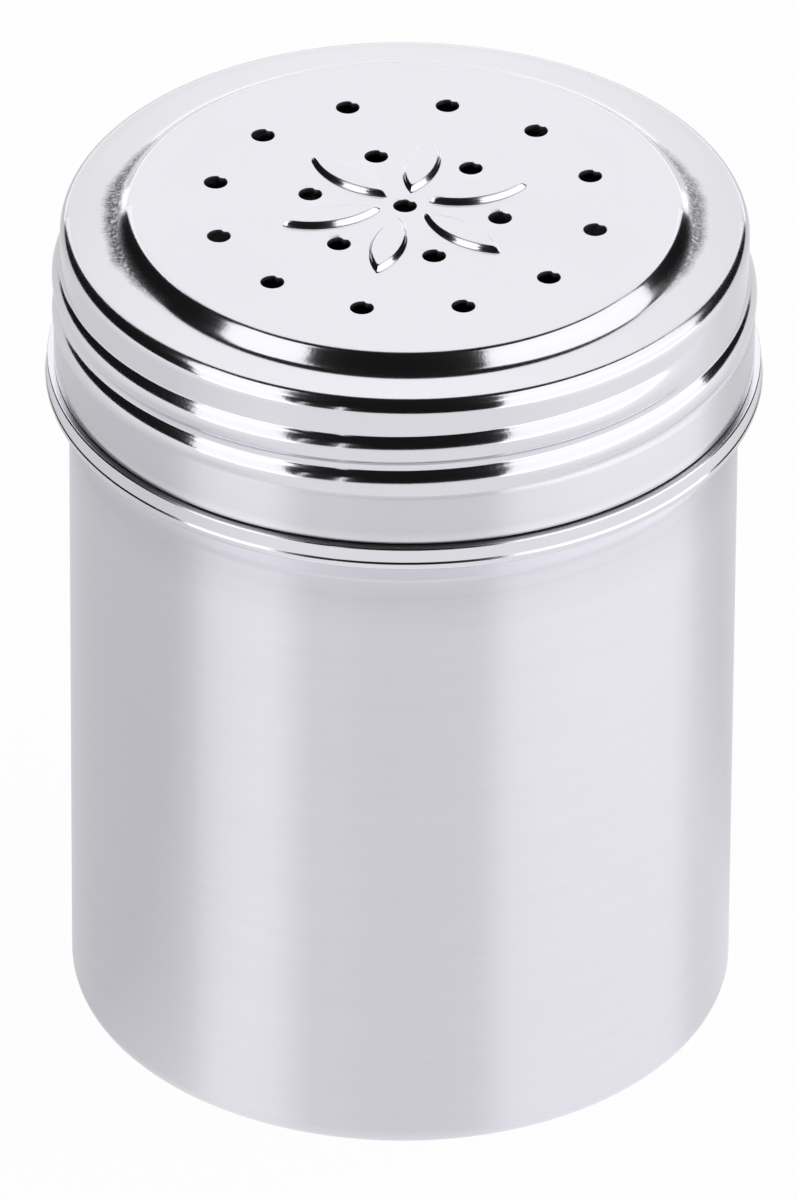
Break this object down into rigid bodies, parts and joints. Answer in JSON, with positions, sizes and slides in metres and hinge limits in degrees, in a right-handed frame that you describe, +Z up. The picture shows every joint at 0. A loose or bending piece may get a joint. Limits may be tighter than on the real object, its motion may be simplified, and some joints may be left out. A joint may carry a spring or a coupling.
{
  "type": "spice shaker",
  "caption": "Stainless-steel catering shaker: a drawn cylindrical container with a rolled collar and threaded neck, and a screw cap with a raised, perforated top.",
  "frame": {"origin": "centre of the container's standing ring, on the surface it stands on", "axes": "+Z up along the shaker's axis; +X to the viewer's right and +Y away from the viewer, who faces the lower edge of the raised top's pattern"},
  "size_m": [0.0696, 0.0696, 0.0889],
  "materials": {
    "satin_steel": "satin, finely brushed round the side",
    "polished_steel": "bright, nearly polished, with light scuffs beside the raised top"
  },
  "bodies": {
    "container": {"container": "satin_steel"},
    "cap": {"cap": "polished_steel"}
  },
  "joints": [
    {"name": "cap_lift", "type": "slide", "parent": "container", "child": "cap", "axis": [0, 0, 1], "range_m": [0, 0.04]}
  ]
}
